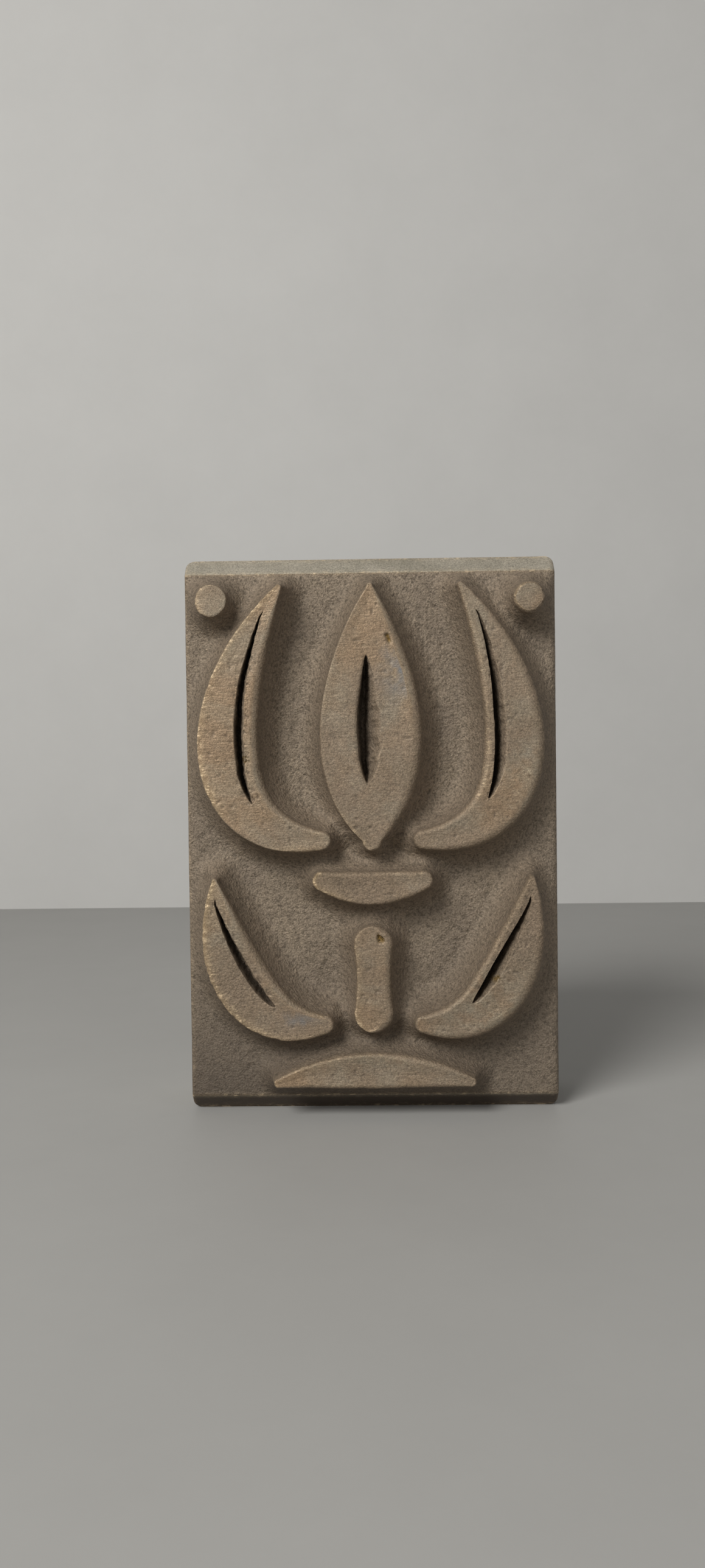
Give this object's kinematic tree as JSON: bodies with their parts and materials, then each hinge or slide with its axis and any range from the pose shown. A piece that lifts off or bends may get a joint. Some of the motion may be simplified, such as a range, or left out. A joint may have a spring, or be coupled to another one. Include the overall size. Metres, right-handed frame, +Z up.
{
  "type": "printing die",
  "caption": "Heavy bronze relief block for letterpress or foil printing: bevelled clamping edges, raised flower forms with flat printing faces, each held by screws from the back.",
  "frame": {"origin": "middle of the block's lower side: halfway across its width and halfway between its back and its printing faces", "axes": "+Z runs up the length of the die as it stands; the printing faces look along -Y and the back along +Y; +X is to the right seen from the front"},
  "size_m": [0.06, 0.0236, 0.09],
  "materials": {
    "block_bronze": "cast bronze, tarnished, with a fine sand grain",
    "form_bronze": "cast bronze with faces filed flat and edges worn bright",
    "screw_steel": "plain steel, dulled"
  },
  "bodies": {
    "root": {"die_block": "block_bronze", "middle_petal": "form_bronze", "left_petal": "form_bronze", "right_petal": "form_bronze", "collar": "form_bronze", "stem": "form_bronze", "left_leaf": "form_bronze", "right_leaf": "form_bronze", "mound": "form_bronze", "left_pearl": "form_bronze", "right_pearl": "form_bronze", "form_screws": "screw_steel"}
  },
  "joints": []
}
